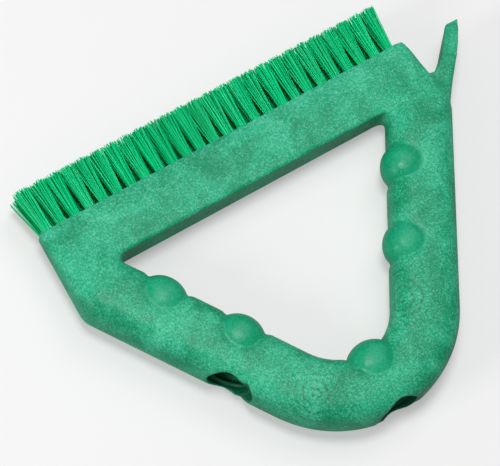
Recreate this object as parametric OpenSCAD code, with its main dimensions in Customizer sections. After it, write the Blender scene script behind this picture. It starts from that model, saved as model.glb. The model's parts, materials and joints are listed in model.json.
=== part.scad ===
/* [Bristles] */
// Tufts in each row
tufts_per_row = 26; // [20:1:26]
// Distance between neighbouring tufts along a row
tuft_pitch = 7.6; // [7:0.1:8]
// Distance between the two rows
row_gap = 7.2; // [6.4:0.1:7.8]
// Diameter of the drilled tuft hole
hole_d = 5; // [4:0.1:5.4]
// Depth of the drilled tuft hole
hole_depth = 12; // [9:0.5:15]
// Free length of the bristles above the bar
trim = 21.2; // [12:0.2:40]
// How far the outer bristles of a tuft spread on their way to the tip
tip_spread = 1.2; // [0.4:0.05:1.4]
// Lean of each row away from the middle, in degrees
row_lean = 5; // [0:0.5:10]
// Thickness of one strand at its root
strand_w = 0.95; // [0.6:0.05:1]

/* [Anchors] */
// Thickness of the flat anchor wire
anchor_t = 0.5; // [0.3:0.05:0.8]
// Height of the anchor along the hole
anchor_h = 2; // [1.4:0.1:2.6]
// How far each anchor end bites into the wall of the hole
anchor_bite = 0.6; // [0.3:0.05:0.9]
// Room under the anchor for the fold of the bristles
fold_h = 1.2; // [0.8:0.1:2]

/* [Bar] */
// Width of the bar, from the bristle face to the hand opening
bar_w = 27; // [22:0.5:32]
// Thickness of the bar
bar_t = 16; // [14:0.5:20]
// Rounding of the bar's edges at the bristle face
bar_edge_r = 3; // [1:0.25:3.5]
// Rounding of the bar's edges at the hand opening
bar_inner_r = 1.5; // [1:0.25:3]
// Bar beyond the centre of the first tuft
left_margin = 6; // [5:0.5:10]
// Bar beyond the centre of the last tuft
right_margin = 10.5; // [8:0.5:14]
// How far the left end draws in towards the leg
end_slant = 1; // [0.4:0.2:4]
// Rounding of the ends of the bar, seen from the side
end_r = 4; // [2:0.5:6]
// Rounding of the corner beside the notch
corner_r = 4.5; // [2:0.5:6]

/* [Handle] */
// Bristle face to the far side of the bend
handle_h = 154; // [145:1:175]
// Width of the legs
leg_w = 31.8; // [28:0.2:36]
// Thickness of the legs
leg_t = 27; // [24:0.5:32]
// Rounding of the leg section
leg_r = 11.5; // [8:0.5:12]
// Angle between a leg and the bar, in degrees
leg_angle = 57.7; // [54:0.1:62]
// Radius of the bend, on the middle line of the leg
bend_r = 43.6; // [38:0.2:50]
// Length over which the legs thin down to the bar
blend_len = 38; // [28:1:44]

/* [Finger bumps] */
// Radius of a finger bump
bump_r = 13.2; // [12:0.1:13.4]
// Bump centre, inward from the middle line of the leg
bump_in = 6.4; // [4:0.1:8]
// Lower bumps, along the leg from the end of the bend
bump_low = 30.5; // [28:0.5:34]
// Distance between the bumps on one leg
bump_step = 39.2; // [36:0.2:41]

/* [Handle sockets] */
// Inner radius of a handle socket, over the thread crests
socket_r = 9.5; // [9:0.1:10]
// Radius of a socket's widened mouth
mouth_r = 12.4; // [11:0.1:12.8]
// Depth of a socket's widened mouth
mouth_h = 2.4; // [2:0.1:3.4]
// Depth of the straight socket from the mouth
straight_depth = 26; // [20:0.5:28]
// Depth of the slanted socket from the mouth
slanted_depth = 26; // [20:0.5:28]
// Slanted socket's mouth, along the leg from the end of the bend
slanted_at = 25.2; // [20:0.2:30]
// Angle between the two sockets, in degrees
slanted_angle = 45; // [40:1:60]

/* [Scraper] */
// Scraper tip beyond the end of the bar
scraper_reach = 30; // [26:0.5:34]
// Scraper edge behind the bristle face
scraper_back = 1.8; // [1:0.1:4]
// Length of the scraper edge
scraper_edge = 9; // [7:0.5:11]
// Thickness at the scraper edge
scraper_tip_t = 3; // [2:0.25:5]
// Depth of the notch below the bristle face
notch_depth = 18.6; // [14:0.2:22]
// Radius at the bottom of the notch
notch_r = 2.8; // [2:0.1:4]
// Depth of the kink where the scraper leaves the leg
kink_depth = 34; // [30:0.5:38]

/* [Hidden] */
tuft_names = [for (row = ["upper", "lower"]) for (i = [1 : tufts_per_row]) str("tuft_", row, "_", i)];

tuft_x0 = -tuft_pitch * (tufts_per_row - 1) / 2;
left_x = tuft_x0 - left_margin;
right_x = -tuft_x0 + right_margin;
leg_a = leg_w / 2;
leg_b = leg_t / 2;
bend_y = -(handle_h - leg_a - bend_r);
outer_r = bend_r + leg_a;
tip_x = right_x + scraper_reach;
centre_x = (left_x + tip_x) / 2;
lowest_y = bend_y - sqrt(outer_r * outer_r - mouth_r * mouth_r);
centre_y = (trim + lowest_y) / 2;

strands_inner = 3;
strands_outer = 5;
inner_ring = 0.26 * hole_d / 2;
outer_ring = 0.72 * hole_d / 2;
tip_taper = 0.75;
tip_jitter = 0.5;
plug_clear = 0.04;
plug_sides = 5;
root_sink = 0.8;
wobble_tuft = 97;
wobble_strand = 61;
arc_steps = 6;

edge_rise = 0.6;
notch_in = 0.8;
notch_from = -42;
notch_to = -170;
overrun = 1;
far = 2 * handle_h;

hole_fn = 16;
socket_fn = 48;
ball_fn = 32;
bend_fn = 64;

green = [0.17, 0.62, 0.42];
bristle_green = [0.02, 0.55, 0.27];
wire = [0.72, 0.72, 0.70];

// Points of an arc about a centre, from one angle to another
function arc(centre, r, from, to, steps = arc_steps) =
  [for (i = [0 : steps]) let (a = from + (to - from) * i / steps) centre + r * [cos(a), sin(a)]];

// Outline of a rounded rectangle about the origin
function rounded(w, h, r) = concat(
  arc([w / 2 - r, h / 2 - r], r, 0, 90),
  arc([-w / 2 + r, h / 2 - r], r, 90, 180),
  arc([-w / 2 + r, -h / 2 + r], r, 180, 270),
  arc([w / 2 - r, -h / 2 + r], r, 270, 360));

// X of the outer side of the right leg at a given height
function outer_x(y) = (outer_r + cos(leg_angle) * (y - bend_y)) / sin(leg_angle);

// Repeatable unevenness between 0 and 1 for strand k of tuft n
function wobble(n, k) = (1 + sin(n * wobble_tuft + k * wobble_strand)) / 2;

// Moves the brush from its drawing axes to its own origin
module place() {
  translate([-centre_x, -centre_y, leg_b])
    children();
}

// Stands a drawing of the side on end, so that it runs along X
module along_x(from, to) {
  translate([from, 0, 0])
    rotate([90, 0, 90])
      linear_extrude(to - from)
        children();
}

// The bar from its end, with the bristle face at zero
module bar_section() {
  face_z = bar_t / 2 - bar_edge_r;
  inner_y = -bar_w + bar_inner_r;
  inner_z = bar_t / 2 - bar_inner_r;
  polygon(concat(
    arc([-bar_edge_r, face_z], bar_edge_r, 0, 90),
    arc([inner_y, inner_z], bar_inner_r, 90, 180),
    arc([inner_y, -inner_z], bar_inner_r, 180, 270),
    arc([-bar_edge_r, -face_z], bar_edge_r, 270, 360)));
}

module bar() {
  middle = (left_x + right_x) / 2;
  intersection() {
    along_x(left_x, right_x)
      bar_section();
    translate([middle, 0, 0])
      rotate([90, 0, 0])
        linear_extrude(bar_w)
          polygon(rounded(right_x - left_x, bar_t, end_r));
    linear_extrude(bar_t, center = true)
      polygon(concat(
        [[left_x, -bar_w], [right_x, -bar_w]],
        arc([right_x - corner_r, -corner_r], corner_r, 0, 90),
        [[left_x, 0]]));
  }
}

module leg_section() {
  polygon(rounded(leg_w, leg_t, leg_r));
}

// One straight leg, from the bend up through the bar
module leg(side) {
  translate([0, bend_y, 0])
    mirror([side < 0 ? 1 : 0, 0, 0])
      rotate([0, 0, -90 + leg_angle])
        translate([bend_r, 0, 0])
          rotate([-90, 0, 0])
            linear_extrude(handle_h)
              leg_section();
}

module bend() {
  translate([0, bend_y, 0])
    rotate([0, 0, -90 - leg_angle])
      rotate_extrude(angle = 2 * leg_angle, $fn = bend_fn)
        translate([bend_r, 0])
          leg_section();
}

// Room that the legs may fill where they thin down to the bar
module leg_limits() {
  blend_y = -bar_edge_r;
  slope_y = blend_y - blend_len;
  intersection() {
    along_x(-far, far)
      polygon([[-far, -leg_b], [slope_y, -leg_b], [blend_y, -bar_t / 2],
        [blend_y, bar_t / 2], [slope_y, leg_b], [-far, leg_b]]);
    translate([left_x, 0, 0])
      rotate([90, 0, 0])
        linear_extrude(far)
          polygon(concat(
            arc([leg_r, leg_b - leg_r], leg_r, 90, 180),
            arc([leg_r, -leg_b + leg_r], leg_r, 180, 270),
            [[far, -leg_b], [far, leg_b]]));
    linear_extrude(leg_t, center = true)
      polygon([[left_x, 0], [right_x - corner_r, 0], [right_x, -corner_r], [right_x, -notch_depth],
        [outer_x(-kink_depth), -kink_depth], [far, -kink_depth], [far, -far],
        [-far, -far], [-far, -3 * bar_w], [left_x + 2 * end_slant, -3 * bar_w],
        [left_x, -bar_w]]);
  }
}

// Scraper hook beside the notch, thinning to its edge
module scraper() {
  root_x = outer_x(-kink_depth);
  notch_x = right_x + notch_r - notch_in;
  taper_y = -notch_depth;
  intersection() {
    linear_extrude(bar_t, center = true)
      polygon(concat(
        [[tip_x, -scraper_back], [tip_x - scraper_edge, -scraper_back + edge_rise]],
        arc([notch_x, -notch_depth + notch_r], notch_r, notch_from, notch_to),
        [[right_x - corner_r, -notch_depth], [right_x - 2 * corner_r, -kink_depth], [root_x, -kink_depth]]));
    along_x(0, far)
      polygon([[0, scraper_tip_t / 2], [-scraper_back, scraper_tip_t / 2], [taper_y, bar_t / 2],
        [-far, bar_t / 2], [-far, -bar_t / 2], [taper_y, -bar_t / 2],
        [-scraper_back, -scraper_tip_t / 2], [0, -scraper_tip_t / 2]]);
  }
}

// Places its children at each finger bump
module at_bumps() {
  translate([0, bend_y - bend_r + bump_in, 0])
    children();
  for (side = [-1, 1])
    for (step = [bump_low, bump_low + bump_step])
      translate([0, bend_y, 0])
        mirror([side < 0 ? 1 : 0, 0, 0])
          rotate([0, 0, -90 + leg_angle])
            translate([bend_r - bump_in, step, 0])
              children();
}

// One handle socket, with its mouth at the origin and its axis along -Y
module socket(depth) {
  rotate([90, 0, 0]) {
    translate([0, 0, -depth])
      cylinder(h = depth, r = socket_r, $fn = socket_fn);
    translate([0, 0, -mouth_h])
      cylinder(h = mouth_h + mouth_r, r = mouth_r, $fn = socket_fn);
  }
}

module sockets() {
  translate([0, -handle_h, 0])
    socket(straight_depth);
  translate([0, bend_y, 0])
    rotate([0, 0, -leg_angle])
      translate([-slanted_at, -outer_r, 0])
        rotate([0, 0, leg_angle - slanted_angle])
          socket(slanted_depth);
}

// Places its children at one tuft, with Y out of the hole
module at_tuft(row, i) {
  translate([tuft_x0 + tuft_pitch * i, 0, row * row_gap / 2])
    children();
}

module anchor() {
  translate([0, -hole_depth + fold_h + anchor_h / 2, 0])
    cube([hole_d + 2 * anchor_bite, anchor_h, anchor_t], center = true);
}

module tuft_hole() {
  rotate([90, 0, 0])
    translate([0, 0, -overrun])
      cylinder(h = hole_depth + overrun, d = hole_d, $fn = hole_fn);
}

module brush_block() {
  color(green)
    place()
      difference() {
        union() {
          bar();
          scraper();
          intersection() {
            union() {
              leg(-1);
              leg(1);
            }
            leg_limits();
          }
          bend();
          at_bumps()
            sphere(r = bump_r, $fn = ball_fn);
        }
        sockets();
        for (row = [-1, 1])
          for (i = [0 : tufts_per_row - 1])
            at_tuft(row, i) {
              tuft_hole();
              anchor();
            }
      }
}

module tuft_anchors() {
  color(wire)
    place()
      for (row = [-1, 1])
        for (i = [0 : tufts_per_row - 1])
          at_tuft(row, i)
            anchor();
}

// Root of strand k on a ring, as an offset in the hole's mouth
function ring_point(k) = k < strands_inner
  ? inner_ring * [cos(k * 360 / strands_inner), sin(k * 360 / strands_inner)]
  : outer_ring * [cos(k * 360 / strands_outer), sin(k * 360 / strands_outer)];

// The three corners of a strand at height y, as points with Y out of the hole
function strand_ring(offset, y, w) =
  [for (c = [0 : 2]) [offset[0] + w * cos(c * 120) / sqrt(3), y, offset[1] + w * sin(c * 120) / sqrt(3)]];

// Both ends of strand k of tuft n, six points
function strand(n, k, lean) =
  let (
    root = ring_point(k),
    length = trim - tip_jitter * (k == 0 ? 0 : wobble(n, k)),
    grow = 1 + tip_spread * length / trim / outer_ring,
    tip = [root[0] * grow, root[1] * grow + length * tan(lean)])
  concat(strand_ring(root, -root_sink, strand_w), strand_ring(tip, length, strand_w * tip_taper));

module tuft(row, i) {
  strands = strands_inner + strands_outer;
  n = row > 0 ? i : i + tufts_per_row;
  points = [for (k = [0 : strands - 1]) each strand(n, k, row * row_lean)];
  faces = [for (k = [0 : strands - 1]) let (p = 6 * k) each [
    [p, p + 2, p + 1], [p + 3, p + 4, p + 5],
    [p, p + 4, p + 3], [p, p + 1, p + 4],
    [p + 1, p + 5, p + 4], [p + 1, p + 2, p + 5],
    [p + 2, p + 3, p + 5], [p + 2, p, p + 3]]];
  color(bristle_green)
    place()
      at_tuft(row, i)
        union() {
          difference() {
            rotate([90, 0, 0])
              cylinder(h = hole_depth, r = hole_d / 2 - plug_clear, $fn = plug_sides);
            anchor();
          }
          polyhedron(points, faces);
        }
}

brush_block();
tuft_anchors();
for (i = [0 : tufts_per_row - 1]) {
  tuft(1, i);
  tuft(-1, i);
}
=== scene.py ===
import json
import math

import bpy
import numpy as np
from mathutils import Matrix, Vector


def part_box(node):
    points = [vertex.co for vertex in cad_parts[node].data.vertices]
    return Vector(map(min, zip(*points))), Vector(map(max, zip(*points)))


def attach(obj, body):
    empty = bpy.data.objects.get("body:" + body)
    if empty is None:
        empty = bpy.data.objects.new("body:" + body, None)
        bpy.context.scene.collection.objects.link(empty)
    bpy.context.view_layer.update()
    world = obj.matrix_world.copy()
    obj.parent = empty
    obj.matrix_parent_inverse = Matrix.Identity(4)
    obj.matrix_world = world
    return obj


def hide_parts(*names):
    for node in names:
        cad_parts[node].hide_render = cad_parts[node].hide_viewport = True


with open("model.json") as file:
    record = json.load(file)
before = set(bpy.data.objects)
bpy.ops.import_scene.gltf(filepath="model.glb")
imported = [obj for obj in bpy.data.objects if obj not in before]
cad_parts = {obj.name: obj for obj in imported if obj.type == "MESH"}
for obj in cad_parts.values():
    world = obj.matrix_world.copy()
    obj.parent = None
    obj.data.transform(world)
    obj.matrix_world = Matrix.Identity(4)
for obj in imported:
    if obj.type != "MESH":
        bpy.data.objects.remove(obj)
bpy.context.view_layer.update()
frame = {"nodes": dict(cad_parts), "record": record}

print("frame loaded:", len(frame["nodes"]), "nodes")

# Drawing axes, in mm: x along the bar, y = 0 on the bristle face, z = 0 halfway through
socketMount = [m for m in frame["record"]["mounts"] if m["name"] == "straight_socket"][0]
blockLow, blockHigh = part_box("brush_block")
midHeight = 500 * (blockLow.z + blockHigh.z)
drawingOrigin = np.array([1000 * socketMount["pos_m"][0], 1000 * blockHigh.y, midHeight])


def toFrame(points):
    # drawing millimetres to metres in the row frame: (point + origin) / 1000
    return (np.asarray(points, float) + drawingOrigin) * 0.001


def linkObject(name, data):
    # a new object at the origin, in the scene's own collection
    made = bpy.data.objects.new(name, data)
    bpy.context.scene.collection.objects.link(made)
    return made


def buildMesh(name, points, faces, material, sharpAngle):
    # points in drawing mm and a list of face arrays become one mesh, smooth up to an angle
    mesh = bpy.data.meshes.new(name)
    mesh.from_pydata(toFrame(points).tolist(), [], [f for part in faces for f in part.tolist()])
    mesh.polygons.foreach_set("use_smooth", np.full(len(mesh.polygons), True))
    mesh.set_sharp_from_angle(angle=math.radians(sharpAngle))
    mesh.materials.append(material)
    return linkObject(name, mesh)


def setAttribute(piece, name, values):
    # one number for each point of the mesh, which its material reads
    attribute = piece.data.attributes.new(name, "FLOAT", "POINT")
    attribute.data.foreach_set("value", np.asarray(values, np.float32))


def setInput(node, **values):
    # sets sockets by name, with spaces written as underscores
    for socket, value in values.items():
        node.inputs[socket.replace("_", " ")].default_value = value


def newGroup(name, inputs, outputs):
    # a shader group with one number per input, at its default, and one number per output
    tree = bpy.data.node_groups.new(name, "ShaderNodeTree")
    kind = "NodeSocketFloat"
    for socketName, value in inputs.items():
        socket = tree.interface.new_socket(socketName, in_out="INPUT", socket_type=kind)
        socket.default_value = value
    for socketName in outputs:
        tree.interface.new_socket(socketName, in_out="OUTPUT", socket_type=kind)
    return tree, tree.nodes.new("NodeGroupInput"), tree.nodes.new("NodeGroupOutput")


def placeGroup(tree, group, **values):
    # one use of a shader group, with this material's own values
    node = tree.nodes.new("ShaderNodeGroup")
    node.node_tree = group
    setInput(node, **values)
    return node.outputs


def objectCoords(tree):
    # places on the piece in metres, the same in every view
    return tree.nodes.new("ShaderNodeTexCoord").outputs["Object"]


def attributeValue(tree, name):
    # the number that a mesh carries at each point
    node = tree.nodes.new("ShaderNodeAttribute")
    node.attribute_name = name
    return node.outputs["Fac"]


def feed(tree, socket, value):
    # a number, a colour or another socket goes into a socket; nothing leaves it as it is
    if isinstance(value, (int, float)):
        socket.default_value = value
    elif isinstance(value, tuple):
        socket.default_value = (*value, 1)
    elif value is not None:
        tree.links.new(value, socket)


def noiseNode(tree, vector, scale, detail, roughness=0.5, distortion=0.0):
    # cloudy noise from 0 to 1, with scale cells to the metre and detail finer octaves
    node = tree.nodes.new("ShaderNodeTexNoise")
    tree.links.new(vector, node.inputs["Vector"])
    feed(tree, node.inputs["Scale"], scale)
    feed(tree, node.inputs["Detail"], detail)
    setInput(node, Roughness=roughness, Distortion=distortion)
    return node.outputs["Fac"]


def mathNode(tree, operation, first, second=None):
    # one sum on two values
    node = tree.nodes.new("ShaderNodeMath")
    node.operation = operation
    feed(tree, node.inputs[0], first)
    feed(tree, node.inputs[1], second)
    return node.outputs[0]


def rangeNode(tree, value, low, high, toLow=0.0, toHigh=1.0):
    # stretches low..high of a value to toLow..toHigh, with soft ends
    node = tree.nodes.new("ShaderNodeMapRange")
    node.interpolation_type = "SMOOTHSTEP"
    setInput(node, From_Min=low, From_Max=high, To_Min=toLow, To_Max=toHigh)
    tree.links.new(value, node.inputs["Value"])
    return node.outputs["Result"]


def mixColors(tree, factor, first, second):
    # first x (1 - factor) + second x factor
    node = tree.nodes.new("ShaderNodeMix")
    node.data_type = "RGBA"
    feed(tree, node.inputs[0], factor)
    feed(tree, node.inputs[6], first)
    feed(tree, node.inputs[7], second)
    return node.outputs[2]


def makeFoamGroup():
    # foamed moulding: pale specks, finer dark pores and big clouds, each a noise stretched
    # between two levels; specks gather where the clouds are pale and pores where they are deep
    tree, given, result = newGroup(
        "foamedPlastic", {"Speck Scale": 950.0, "Pore Scale": 1700.0, "Cloud Scale": 60.0},
        ("Specks", "Pores", "Clouds", "Relief"))
    coords = objectCoords(tree)
    specks = noiseNode(tree, coords, given.outputs["Speck Scale"], 4.0, 0.75, 0.8)
    fine = noiseNode(tree, coords, given.outputs["Pore Scale"], 2.0, 0.6)
    clouds = noiseNode(tree, coords, given.outputs["Cloud Scale"], 3.0, 0.55, 0.6)
    patchy = mathNode(tree, "SUBTRACT", clouds, 0.52)
    pale = mathNode(tree, "ADD", specks, mathNode(tree, "MULTIPLY", patchy, 0.22))
    dark = mathNode(tree, "ADD", fine, mathNode(tree, "MULTIPLY", patchy, 0.3))
    relief = mathNode(tree, "ADD", specks, mathNode(tree, "MULTIPLY", fine, 0.4))
    tree.links.new(rangeNode(tree, pale, 0.42, 0.68), result.inputs["Specks"])
    tree.links.new(rangeNode(tree, dark, 0.52, 0.36), result.inputs["Pores"])
    tree.links.new(rangeNode(tree, clouds, 0.34, 0.66), result.inputs["Clouds"])
    tree.links.new(relief, result.inputs["Relief"])
    return tree


def makeDrawnGroup():
    # drawn plastic or wire: noise whose cells are stretched along x, by the given factor
    tree, given, result = newGroup(
        "drawnGrain", {"Scale": 400.0, "Detail": 2.0, "Stretch": 1.0}, ("Grain",))
    squeeze = tree.nodes.new("ShaderNodeCombineXYZ")
    setInput(squeeze, X=1.0)
    mapping = tree.nodes.new("ShaderNodeMapping")
    tree.links.new(given.outputs["Stretch"], squeeze.inputs["Y"])
    tree.links.new(given.outputs["Stretch"], squeeze.inputs["Z"])
    tree.links.new(squeeze.outputs["Vector"], mapping.inputs["Scale"])
    tree.links.new(objectCoords(tree), mapping.inputs["Vector"])
    grain = noiseNode(tree, mapping.outputs["Vector"], given.outputs["Scale"],
                      given.outputs["Detail"])
    tree.links.new(grain, result.inputs["Grain"])
    return tree


foamGroup = makeFoamGroup()
drawnGroup = makeDrawnGroup()


def newMaterial(name):
    # an empty material, its node tree and its main shader
    material = bpy.data.materials.new(name)
    material.use_nodes = True
    tree = material.node_tree
    return material, tree, tree.nodes["Principled BSDF"]


foam = {
    "deep": (0.000, 0.355, 0.163), "main": (0.002, 0.465, 0.238), "pale": (0.165, 0.690, 0.450),
    # bore is painted shade: the dark green laid over the bores and their mouths
    "pore": (0.000, 0.165, 0.072), "button": (0.000, 0.375, 0.178), "bore": (0.000, 0.110, 0.048),
    "speckScale": 950.0, "poreScale": 1700.0, "cloudScale": 60.0,
    "paleShare": 0.8, "poreShare": 0.6, "buttonShare": 0.6, "boreShadeShare": 0.85,
    "roughLow": 0.38, "roughHigh": 0.5, "buttonPolish": 0.12,
    "bumpStrength": 0.3, "bumpDepth": 0.0003, "specular": 0.26,
}
rings = {
    "places": [(27, -110.5, 10), (-33, -129, 13)], "reach": 0.025, "full": 0.003, "gap": 0.0042,
    "bendScale": 90.0, "bend": 0.009, "share": 0.75,
}


def ringLines(tree, coords, bent, place):
    # flow rings: a sine of the distance from a place, bent by noise and fading outwards
    away = tree.nodes.new("ShaderNodeVectorMath")
    away.operation = "DISTANCE"
    away.inputs[1].default_value = tuple(toFrame(place))
    tree.links.new(coords, away.inputs[0])
    distance = away.outputs["Value"]
    warped = mathNode(tree, "ADD", distance, mathNode(tree, "MULTIPLY", bent, rings["bend"]))
    wave = mathNode(tree, "SINE", mathNode(tree, "MULTIPLY", warped, 2 * math.pi / rings["gap"]))
    fade = rangeNode(tree, distance, rings["reach"], rings["full"])
    lines = mathNode(tree, "MULTIPLY", rangeNode(tree, wave, 0.1, 1.0), fade)
    return mathNode(tree, "MULTIPLY", lines, rings["share"])


def makeFoamMaterial():
    # clouds of deep and main green, then rings, pale specks and dark pores over them; calmer on
    # the bumps, and painted shade darkens the bores; roughness follows the clouds and bump follows
    # the grain
    material, tree, shader = newMaterial("foamedGreen")
    grain = placeGroup(tree, foamGroup, Speck_Scale=foam["speckScale"],
                       Pore_Scale=foam["poreScale"], Cloud_Scale=foam["cloudScale"])
    coords = objectCoords(tree)
    bent = noiseNode(tree, coords, rings["bendScale"], 3.0)
    button = attributeValue(tree, "button")
    color = mixColors(tree, grain["Clouds"], foam["deep"], foam["main"])
    for place in rings["places"]:
        color = mixColors(tree, ringLines(tree, coords, bent, place), color, foam["pore"])
    for mask, share, tone in ((grain["Specks"], foam["paleShare"], foam["pale"]),
                              (grain["Pores"], foam["poreShare"], foam["pore"]),
                              (button, foam["buttonShare"], foam["button"]),
                              # the bores' dark green is painted shade, over every point deep inside
                              # the body
                              (attributeValue(tree, "inside"), foam["boreShadeShare"], foam["bore"])):
        color = mixColors(tree, mathNode(tree, "MULTIPLY", mask, share), color, tone)
    rough = rangeNode(tree, grain["Clouds"], 0.0, 1.0, foam["roughLow"], foam["roughHigh"])
    polish = mathNode(tree, "MULTIPLY", button, foam["buttonPolish"])
    bump = tree.nodes.new("ShaderNodeBump")
    setInput(bump, Strength=foam["bumpStrength"], Distance=foam["bumpDepth"])
    setInput(shader, Specular_IOR_Level=foam["specular"])
    tree.links.new(color, shader.inputs["Base Color"])
    tree.links.new(mathNode(tree, "SUBTRACT", rough, polish), shader.inputs["Roughness"])
    tree.links.new(grain["Relief"], bump.inputs["Height"])
    tree.links.new(bump.outputs["Normal"], shader.inputs["Normal"])
    return material


filament = {
    "dark": (0.000, 0.470, 0.160), "light": (0.000, 0.860, 0.350),
    "grainScale": 400.0, "detail": 2.0, "stretch": 1.0,
    "roughLow": 0.35, "roughHigh": 0.5, "specular": 0.15,
}


def drawnGrain(tree, finish):
    # the drawn grain as a number from 0 to 1, and the roughness that it gives this finish
    grain = placeGroup(tree, drawnGroup, Scale=finish["grainScale"], Detail=finish["detail"],
                       Stretch=finish["stretch"])["Grain"]
    return grain, rangeNode(tree, grain, 0.3, 0.7, finish["roughLow"], finish["roughHigh"])


def makeFilamentMaterial():
    # each filament's own tone between dark and light green, with a slightly uneven polish
    material, tree, shader = newMaterial("filamentGreen")
    color = mixColors(tree, attributeValue(tree, "tone"), filament["dark"], filament["light"])
    _, rough = drawnGrain(tree, filament)
    tree.links.new(color, shader.inputs["Base Color"])
    tree.links.new(rough, shader.inputs["Roughness"])
    setInput(shader, Specular_IOR_Level=filament["specular"])
    return material


wire = {
    "dark": (0.62, 0.62, 0.60), "light": (0.78, 0.78, 0.76),
    "grainScale": 600.0, "detail": 3.0, "stretch": 12.0,
    "roughLow": 0.25, "roughHigh": 0.42,
}


def makeWireMaterial():
    # bare metal with fine lines along the wire, in tone and in roughness
    material, tree, shader = newMaterial("anchorWire")
    grain, rough = drawnGrain(tree, wire)
    tree.links.new(mixColors(tree, grain, wire["dark"], wire["light"]), shader.inputs["Base Color"])
    tree.links.new(rough, shader.inputs["Roughness"])
    setInput(shader, Metallic=1.0)
    return material


foamGreen = makeFoamMaterial()
filamentGreen = makeFilamentMaterial()
anchors = frame["nodes"]["tuft_anchors"].data
anchors.materials.clear()
anchors.materials.append(makeWireMaterial())
print("materials made")


def unionSmooth(first, second, radius):
    # the smaller of two distances, with a fillet of about that radius where they meet
    blend = np.clip(radius - np.abs(first - second), 0, None) / radius
    return np.minimum(first, second) - blend * blend * radius / 4


def cutSmooth(first, second, radius):
    # the larger of two distances, with an edge rounded by about that radius
    return -unionSmooth(-first, -second, radius)


def roundedSlab(across, height, halfWidth, halfHeight, radius):
    # distance to a rectangle of the two given coordinates, its corners rounded
    qx = np.abs(across) - halfWidth + radius
    qy = np.abs(height) - halfHeight + radius
    outside = np.hypot(np.maximum(qx, 0), np.maximum(qy, 0))
    return outside + np.minimum(np.maximum(qx, qy), 0) - radius


def superOval(across, height, halfWidth, halfHeight, power):
    # about the distance to |a / halfWidth|^power + |h / halfHeight|^power = 1, a section
    # between an ellipse and a rectangle
    ux = np.abs(across) / halfWidth
    uy = np.abs(height) / halfHeight
    level = (ux ** power + uy ** power) ** (1 / power)
    return (level - 1) * np.minimum(halfWidth, halfHeight)


def polygonDistance(x, y, corners):
    # distance in plan to the nearest edge of a closed outline, negative inside, where a line
    # to the right crosses the outline an odd number of times
    best = np.full(x.shape, 1e9)
    inside = np.zeros(x.shape, bool)
    for (ax, ay), (bx, by) in zip(corners, corners[1:] + corners[:1]):
        ex, ey = bx - ax, by - ay
        along = np.clip(((x - ax) * ex + (y - ay) * ey) / (ex * ex + ey * ey), 0, 1)
        best = np.minimum(best, np.hypot(x - ax - along * ex, y - ay - along * ey))
        crosses = ((ay > y) != (by > y)) & (x < ax + (y - ay) * ex / (ey if ey else 1e-9))
        inside ^= crosses
    return np.where(inside, -best, best)


handle = {
    "angle": math.radians(57.7), "bendY": -94.5, "bendRadius": 43.6, "outward": 15.9,
    "rightShift": 0.75, "leftShift": -0.2, "shiftReach": 40.0,
    "halfWidth": 15.75, "halfHeight": 13.2, "power": 2.75,
    "thinFrom": -41.0, "thinTo": -3.0, "thinHalf": 7.6,
    "leftX": -99.35, "leftSlant": 0.044, "endRound": 8.5, "endEdge": 1.5, "fillet": 5.0,
}
legX = math.sin(handle["angle"])
legY = -math.cos(handle["angle"])
outerReach = handle["bendRadius"] + handle["outward"]


def outerX(y):
    # x of the right leg's outer side at a given y, on its straight line
    return (outerReach - legY * (y - handle["bendY"])) / legX


bar = {"width": 27.8, "halfHeight": 8.2, "faceRound": 3.2, "innerRound": 1.5}
rightEnd = {
    "outline": [(-300, 60), (99.5, 60), (99.5, 0), (101.3, -0.5), (102.2, -2.2), (102.7, -8),
                (102.7, -15), (103, -21), (outerX(-38.5) + 0.5, -38.5), (160, -38.5),
                (160, -300), (-300, -300)],
    "edge": 2.0, "lowEdge": 3.0,
}
scraper = {
    "outline": [(135.2, -2.2), (128.3, -2.1), (115.8, -15.8), (109.2, -20.7), (106.6, -21.8),
                (104.4, -21.6), (102.9, -20.7), (99, -24), (96, -40), (100.5, -39.8),
                (103.8, -38.4), (106.9, -36.4), (113.2, -28.9), (121.1, -19.8), (126.8, -13.4),
                (131.9, -7.0)],
    "edgeY": -1.8, "tipHalf": 1.5, "rootHalf": 8.0, "taper": 16.8, "lean": 0.93,
    "edge": 0.7, "lowEdge": 3.0, "fillet": 1.0, "lowFillet": 1.5,
    "softFrom": -20.0, "softOver": 10.0,
}
bumps = {
    "along": [30.5, 69.7], "wide": 10.9, "tall": 11.5, "rise": 3.2, "lowerTaper": 0.7,
    "top": 14.2, "topEdge": 3.0, "fillet": 0.6, "moat": 0.7, "moatWidth": 1.6,
    "rightLong": 11.2, "rightInward": 8.8, "leftLong": 12.3, "leftInward": 7.9,
    "bottomWide": 11.3, "bottomLong": 12.6, "bottomInward": 9.4,
}


def placeBumps():
    # centre, outward direction, half width and half length of each bump: one at the middle of
    # the bend and two on each leg, a little inward of its middle line
    bottomY = handle["bendY"] - handle["bendRadius"] + bumps["bottomInward"]
    places = [(0.0, bottomY, 0.0, -1.0, bumps["bottomWide"], bumps["bottomLong"])]
    for side, name in ((-1, "left"), (1, "right")):
        reach = handle["bendRadius"] - bumps[name + "Inward"] + handle[name + "Shift"] * legX
        for along in bumps["along"]:
            x = side * (reach * legX - along * legY)
            y = handle["bendY"] + reach * legY + along * legX
            places.append((x, y, side * legX, legY, bumps["wide"], bumps[name + "Long"]))
    return places


bumpPlaces = placeBumps()


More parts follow.
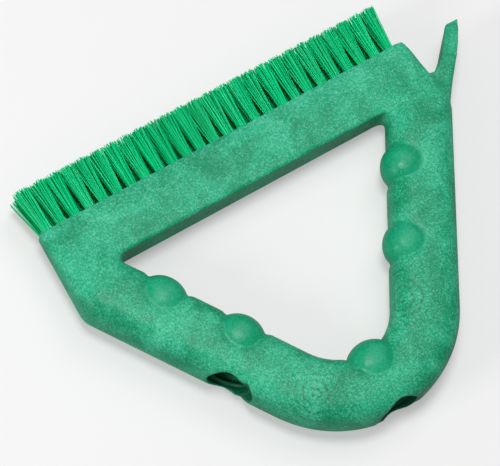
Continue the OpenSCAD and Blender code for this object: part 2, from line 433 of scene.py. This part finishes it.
def bumpLevel(x, y, z):
    # how far outside the nearest bump: (across / wide)^2 + (along / long)^2 + up^2 = 1, centred
    # high in the leg, drawn out downwards and flattened at its top
    nearest = np.full(x.shape, 1e3)
    up = (np.where(z > 0, z, z * bumps["lowerTaper"]) - bumps["rise"]) / bumps["tall"]
    for bx, by, nx, ny, wide, long in bumpPlaces:
        across = (x - bx) * nx + (y - by) * ny
        along = (x - bx) * ny - (y - by) * nx
        level = np.sqrt((across / wide) ** 2 + (along / long) ** 2 + up ** 2)
        egg = cutSmooth((level - 1) * wide, z - bumps["top"], bumps["topEdge"])
        nearest = np.minimum(nearest, egg)
    return nearest


def bodyDistance(x, y, z):
    # legs and bend as one oval swept along their middle line and thinned towards the bar, then
    # the bar, both ends, the scraper and the bumps, joined and cut with soft edges
    shift = np.where(x > 0, handle["rightShift"], handle["leftShift"])
    side = np.abs(x) - shift * np.clip(np.abs(x) / handle["shiftReach"], 0, 1)
    down = y - handle["bendY"]
    alongLeg = side * -legY + down * legX
    fromMiddle = np.where(alongLeg > 0, side * legX + down * legY, np.hypot(side, down))
    across = fromMiddle - handle["bendRadius"]
    share = np.clip((y - handle["thinFrom"]) / (handle["thinTo"] - handle["thinFrom"]), 0, 1)
    half = handle["halfHeight"] + (handle["thinHalf"] - handle["halfHeight"]) * share
    stretched = z * handle["halfHeight"] / half
    legs = superOval(across, stretched, handle["halfWidth"], handle["halfHeight"], handle["power"])

    halfBar = bar["width"] / 2
    slab = roundedSlab(y + halfBar, z, halfBar, bar["halfHeight"], bar["innerRound"])
    body = unionSmooth(legs, slab, handle["fillet"])
    body = cutSmooth(body, y, bar["faceRound"])

    reach = 200.0                               # far past the other end
    leftEdge = x - handle["leftX"] - handle["leftSlant"] * y
    leftEnd = roundedSlab(leftEdge - reach, stretched, reach, handle["halfHeight"],
                          handle["endRound"])
    body = cutSmooth(body, leftEnd, handle["endEdge"])

    # the scraper's root runs softly into the leg
    low = np.clip((scraper["softFrom"] - y) / scraper["softOver"], 0, 1)
    body = cutSmooth(body, polygonDistance(x, y, rightEnd["outline"]),
                     rightEnd["edge"] + rightEnd["lowEdge"] * low)
    slope = np.clip((scraper["edgeY"] - y) / scraper["taper"], 0, 1)
    plateHalf = scraper["tipHalf"] + (scraper["rootHalf"] - scraper["tipHalf"]) * slope
    plate = cutSmooth(polygonDistance(x, y, scraper["outline"]),
                      (np.abs(z) - plateHalf) * scraper["lean"],
                      scraper["edge"] + scraper["lowEdge"] * low)
    body = unionSmooth(body, plate, scraper["fillet"] + scraper["lowFillet"] * low)

    bump = bumpLevel(x, y, z)
    moat = bumps["moat"] * np.exp(-(np.clip(bump, 0, None) / bumps["moatWidth"]) ** 2)
    return unionSmooth(body + moat, bump, bumps["fillet"])


slantAlong = 25.2                               # from the end of the bend up the left leg
slantMouth = (slantAlong * legY - outerReach * legX,
              slantAlong * legX + outerReach * legY + handle["bendY"])
sockets = {
    "straight": {"mouth": (0.0, -154.0), "turn": 0.0, "crestStart": 2.9},
    "slanted": {"mouth": slantMouth, "turn": math.radians(45), "crestStart": 3.2},
}
thread = {
    "depth": 25.7, "crest": 9.5, "root": 10.9, "pitch": 4.2, "flat": 0.12, "flank": 0.55,
    "entry": 9.75, "plain": 4.8, "grow": 2.4, "ease": 0.7,
    "mouth": 12.2, "mouthDepth": 1.9, "lip": 1.1,
}


def socketFrame(x, y, socket):
    # depth below the mouth along the bore, and distance beside its axis, in plan
    mx, my = socket["mouth"]
    s, c = math.sin(socket["turn"]), math.cos(socket["turn"])
    depth = (x - mx) * s + (y - my) * c
    beside = (x - mx) * c - (y - my) * s
    return depth, beside


def threadRadius(depth, turn, start):
    # a crest wherever depth / pitch + turn / 360 is whole, eased to the root radius between
    # crests, and growing from a plain entry
    phase = (depth - start) / thread["pitch"] + (turn + math.pi / 2) / (2 * math.pi)
    wave = np.abs((phase + 0.5) % 1 - 0.5) * 2
    crest = np.clip(1 - (wave - thread["flat"]) / thread["flank"], 0, 1)
    crest = crest * crest * (3 - 2 * crest)
    grown = np.clip((depth - thread["plain"]) / thread["grow"], 0, 1)
    full = thread["root"] - (thread["root"] - thread["crest"]) * crest
    return thread["entry"] + (full - thread["entry"]) * grown


def blockDistance(x, y, z):
    # the body less its two threaded bores and their widened mouths
    body = bodyDistance(x, y, z)
    for socket in sockets.values():
        depth, beside = socketFrame(x, y, socket)
        radial = np.hypot(beside, z)
        wall = threadRadius(depth, np.arctan2(z, beside), socket["crestStart"])
        bore = np.maximum((radial - wall) * thread["ease"], depth - thread["depth"])
        mouth = np.maximum(radial - thread["mouth"], depth - thread["mouthDepth"])
        body = cutSmooth(body, -np.minimum(bore, mouth), thread["lip"])
    return body


def fieldAndSlope(distance, points):
    # a distance field and its gradient by central differences
    x, y, z = points.T
    h = 0.05
    slope = np.stack([
        distance(x + h, y, z) - distance(x - h, y, z),
        distance(x, y + h, z) - distance(x, y - h, z),
        distance(x, y, z + h) - distance(x, y, z - h)], 1) / (2 * h)
    return distance(x, y, z), slope


def gridLine(low, high, coarse, fine, spans):
    # grid places a coarse step apart, or a fine step inside the given spans
    places = [low]
    while places[-1] < high:
        inSpan = any(a <= places[-1] < b for a, b in spans)
        places.append(places[-1] + (fine if inSpan else coarse))
    return np.array(places)


def cellPoints(field, axes):
    # one point in each grid cell that the surface crosses, at the mean of the crossings on its
    # edges, and each cell's number
    nx, ny, nz = (n - 1 for n in field.shape)
    total = np.zeros((nx, ny, nz, 3))
    count = np.zeros((nx, ny, nz))
    corners = [(i, j, k) for i in (0, 1) for j in (0, 1) for k in (0, 1)]
    for axis in range(3):
        for a in (corner for corner in corners if not corner[axis]):
            b = tuple(v + (n == axis) for n, v in enumerate(a))
            fa = field[a[0]:a[0] + nx, a[1]:a[1] + ny, a[2]:a[2] + nz]
            fb = field[b[0]:b[0] + nx, b[1]:b[1] + ny, b[2]:b[2] + nz]
            hit = (fa < 0) != (fb < 0)
            part = np.where(hit, fa / np.where(hit, fa - fb, 1), 0)
            count += hit
            for n in range(3):
                total[..., n] += np.where(hit, a[n] + (part if n == axis else 0), 0)
    used = count > 0
    index = np.full(used.shape, -1)
    index[used] = np.arange(used.sum())
    places = np.argwhere(used) + total[used] / count[used][:, None]
    points = [np.interp(places[:, n], np.arange(len(axes[n])), axes[n]) for n in range(3)]
    return np.stack(points, 1), index


def cellQuads(inside, index):
    # one quad round each grid edge that the surface crosses, facing from inside to outside
    quads = []
    for axis in range(3):
        u, v = (axis + 1) % 3, (axis + 2) % 3
        flips = inside != np.roll(inside, -1, axis)
        trim = [slice(1, -1)] * 3
        trim[axis] = slice(0, -1)
        place = np.argwhere(flips[tuple(trim)])
        for n in (u, v):
            place[:, n] += 1
        ring = []
        for du, dv in ((0, 0), (1, 0), (1, 1), (0, 1)):
            cell = place.copy()
            cell[:, u] -= du
            cell[:, v] -= dv
            ring.append(index[cell[:, 0], cell[:, 1], cell[:, 2]])
        quad = np.stack(ring, 1)
        outward = inside[place[:, 0], place[:, 1], place[:, 2]]
        quad[~outward] = quad[~outward][:, ::-1]
        quads.append(quad)
    return quads


grid = {
    "low": (-102.2, -155.4, -14.7), "high": (136.6, 1.2, 14.7),
    "coarse": (1.1, 1.1, 1.1), "fine": (0.5, 0.5, 0.8),
    "spans": ([(-73.5, -50), (-13, 13)], [(-155.4, -143), (-115, -95)], [(-14.7, 14.7)]),
    "passes": 4, "longestMove": 0.4, "leastSlope": 0.2,
}


def netSurface(distance):
    # surface nets over the grid; the points then move onto the surface, each pass by
    # distance x gradient / gradient^2
    axes = [gridLine(grid["low"][n], grid["high"][n], grid["coarse"][n], grid["fine"][n],
                     grid["spans"][n]) for n in range(3)]
    field = distance(*np.meshgrid(*axes, indexing="ij"))
    points, index = cellPoints(field, axes)
    quads = cellQuads(field < 0, index)
    for _ in range(grid["passes"]):
        value, slope = fieldAndSlope(distance, points)
        size = np.maximum((slope ** 2).sum(1), grid["leastSlope"])
        move = np.clip(value / size, -grid["longestMove"], grid["longestMove"])
        points -= move[:, None] * slope
    return points, quads


blockPoints, blockQuads = netSurface(blockDistance)
block = buildMesh("block", blockPoints, blockQuads, foamGreen, sharpAngle=42)
setAttribute(block, "button", np.clip(1.2 - bumpLevel(*blockPoints.T), 0, 1))
# painted shade mask: 0 on the outer surface, rising to 1 within the bores and mouths
setAttribute(block, "inside", np.clip(bodyDistance(*blockPoints.T) * -1.2 - 0.2, 0, 1))
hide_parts("brush_block")
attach(block, "root")
print("block:", len(blockPoints), "points")

brush = {
    "perRow": 26, "pitch": 7.6, "rowGap": 7.2, "seed": 7,
    "count": 60, "thickness": 0.5, "thinnest": 0.85, "thickest": 1.12, "sides": 4, "levels": 4,
    "holeRadius": 2.2, "rootJitter": 0.08, "below": 1.5, "length": 21.45, "shorter": 0.3,
    "spread": 2.1, "lean": 4.6, "curve": 1.1, "bow": 0.14, "tipJitterX": 0.3, "tipJitterZ": 0.25,
    "endLean": 1.3, "rightShare": 0.4, "endFade": 0.45, "toneMiddle": 0.6, "toneSpread": 0.28,
}


def prismFaces(levels, sides, starts):
    # quads round thin prisms of the given levels and sides, and a cap at both ends of each
    r, c = np.meshgrid(np.arange(levels - 1), np.arange(sides), indexing="ij")
    n = (c + 1) % sides
    wall = np.stack([r * sides + c, r * sides + n, (r + 1) * sides + n, (r + 1) * sides + c], -1)
    around = np.arange(sides)
    tips = starts[:, None] + (levels * sides - sides + around)[::-1]
    roots = starts[:, None] + around
    return [(wall.reshape(-1, 4) + starts[:, None, None]).reshape(-1, 4), tips, roots]


def makeTuft(name, middleX, middleZ, leanSide, endLean, random):
    # filaments start on a sunflower disc, radius by the root of their number and turn by the
    # golden angle, and fan out: root + (tip - root) t^curve + bow 4t(1 - t), each a thin prism
    count, sides, levels = brush["count"], brush["sides"], brush["levels"]
    k = np.arange(count)
    radius = brush["holeRadius"] * np.sqrt((k + 0.5) / count)
    turn = k * math.radians(137.508) + random.uniform(0, 6.28)
    rootX = radius * np.cos(turn) + random.normal(0, brush["rootJitter"], count)
    rootZ = radius * np.sin(turn) + random.normal(0, brush["rootJitter"], count)
    length = brush["length"] - random.uniform(0, brush["shorter"], count)
    lean = math.tan(math.radians(brush["lean"])) * leanSide
    grow = 1 + brush["spread"] / brush["holeRadius"]
    tipX = rootX * grow + random.normal(0, brush["tipJitterX"], count) + endLean
    tipZ = rootZ * grow + length * lean + random.normal(0, brush["tipJitterZ"], count)
    bow = random.normal(0, brush["bow"], (2, count))
    t = np.linspace(0, 1, levels)[:, None]
    hump = t * (1 - t) * 4
    x = rootX + (tipX - rootX) * t ** brush["curve"] + bow[0] * hump
    z = rootZ + (tipZ - rootZ) * t ** brush["curve"] + bow[1] * hump
    y = -brush["below"] + (length + brush["below"]) * t
    half = brush["thickness"] / 2 * random.uniform(brush["thinnest"], brush["thickest"], count)
    spin = random.uniform(0, math.pi, count)
    corner = np.arange(sides) * 2 * math.pi / sides + spin[:, None]
    px = middleX + x[:, :, None] + np.cos(corner) * half[:, None]
    pz = middleZ + z[:, :, None] + np.sin(corner) * half[:, None]
    py = np.broadcast_to(y[:, :, None], px.shape)
    points = np.stack([px, py, pz], -1).transpose(1, 0, 2, 3).reshape(-1, 3)
    faces = prismFaces(levels, sides, k * levels * sides)
    piece = buildMesh(name, points, faces, filamentGreen, sharpAngle=60)
    tone = np.clip(random.normal(brush["toneMiddle"], brush["toneSpread"], count), 0, 1)
    setAttribute(piece, "tone", np.repeat(tone, levels * sides))
    return piece


generator = np.random.default_rng(brush["seed"])
firstX = -brush["pitch"] * (brush["perRow"] - 1) / 2
for rowName, rowSide in (("upper", 1), ("lower", -1)):
    for i in range(brush["perRow"]):
        # the tufts near both ends lean outwards, less at the right
        leftPart = brush["endFade"] ** i
        rightPart = brush["rightShare"] * brush["endFade"] ** (brush["perRow"] - 1 - i)
        tuft = makeTuft(f"bristles_{rowName}_{i + 1}", firstX + brush["pitch"] * i,
                        rowSide * brush["rowGap"] / 2, rowSide,
                        brush["endLean"] * (rightPart - leftPart), generator)
        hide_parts(f"tuft_{rowName}_{i + 1}")
        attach(tuft, "root")
print("bristles made")

paper = {
    "size": 6.0, "height": -0.0007, "color": (0.60, 0.60, 0.60), "bounce": (0.45, 0.45, 0.45),
    "lift": 0.355, "roughness": 0.9,
}


def makeFloor():
    # one square of matt paper; the camera sees it lifted towards white by a glow, and other
    # rays meet a duller one
    size, z = paper["size"] / 2, paper["height"]
    mesh = bpy.data.meshes.new("floor")
    corners = [(-size, -size, z), (size, -size, z), (size, size, z), (-size, size, z)]
    mesh.from_pydata(corners, [], [(0, 1, 2, 3)])
    material, tree, shader = newMaterial("paperFloor")
    seen = tree.nodes.new("ShaderNodeLightPath").outputs["Is Camera Ray"]
    color = mixColors(tree, seen, paper["bounce"], paper["color"])
    lift = mathNode(tree, "MULTIPLY", seen, paper["lift"])
    setInput(shader, Roughness=paper["roughness"], Specular_IOR_Level=0.0,
             Emission_Color=(1, 1, 1, 1))
    tree.links.new(color, shader.inputs["Base Color"])
    tree.links.new(lift, shader.inputs["Emission Strength"])
    mesh.materials.append(material)
    linkObject("floor", mesh)


studio = {
    "world": 0.24, "aimHeight": 0.01,
    "keyLight": {"from": (-0.1, 0.1, 0.99), "distance": 1.3, "size": 0.4, "power": 7.4},
    "sideLight": {"from": (-0.9, 0.05, 0.42), "distance": 1.3, "size": 0.45, "power": 5.0},
    "topLight": {"from": (0.4, 0.3, 0.87), "distance": 1.6, "size": 0.9, "power": 4.2},
}


def addLight(name):
    # a round soft lamp: aim point + direction x distance, turned to face the aim point
    light = bpy.data.lights.new(name, "AREA")
    light.shape = "DISK"
    light.size = studio[name]["size"]
    light.energy = studio[name]["power"]
    away = Vector(studio[name]["from"]).normalized()
    lamp = linkObject(name, light)
    lamp.location = away * studio[name]["distance"] + Vector((0, 0, studio["aimHeight"]))
    lamp.rotation_euler = away.to_track_quat("Z", "Y").to_euler()


makeFloor()
for lampName in ("keyLight", "sideLight", "topLight"):
    addLight(lampName)
world = bpy.data.worlds.new("studioWorld")
world.use_nodes = True
setInput(world.node_tree.nodes["Background"], Color=(1, 1, 1, 1), Strength=studio["world"])
bpy.context.scene.world = world

view = {
    "place": (-0.4259, -0.28265, 1.1478), "right": (0.8317, -0.5355, 0.1473),
    "up": (0.4544, 0.8085, 0.3739), "back": (-0.3193, -0.2440, 0.9157), "lens": 193.5,
}
camera = bpy.data.cameras.new("camera")
camera.lens = view["lens"]
camera.sensor_width = 36
camera.sensor_fit = "HORIZONTAL"
camera.clip_start = 0.01
camera.clip_end = 20
cameraTurn = Matrix((view["right"], view["up"], view["back"])).transposed()
cameraObject = linkObject("camera", camera)
cameraObject.matrix_world = Matrix.Translation(view["place"]) @ cameraTurn.to_4x4()
bpy.context.scene.camera = cameraObject
bpy.context.scene.view_settings.view_transform = "Standard"
print("stage made")
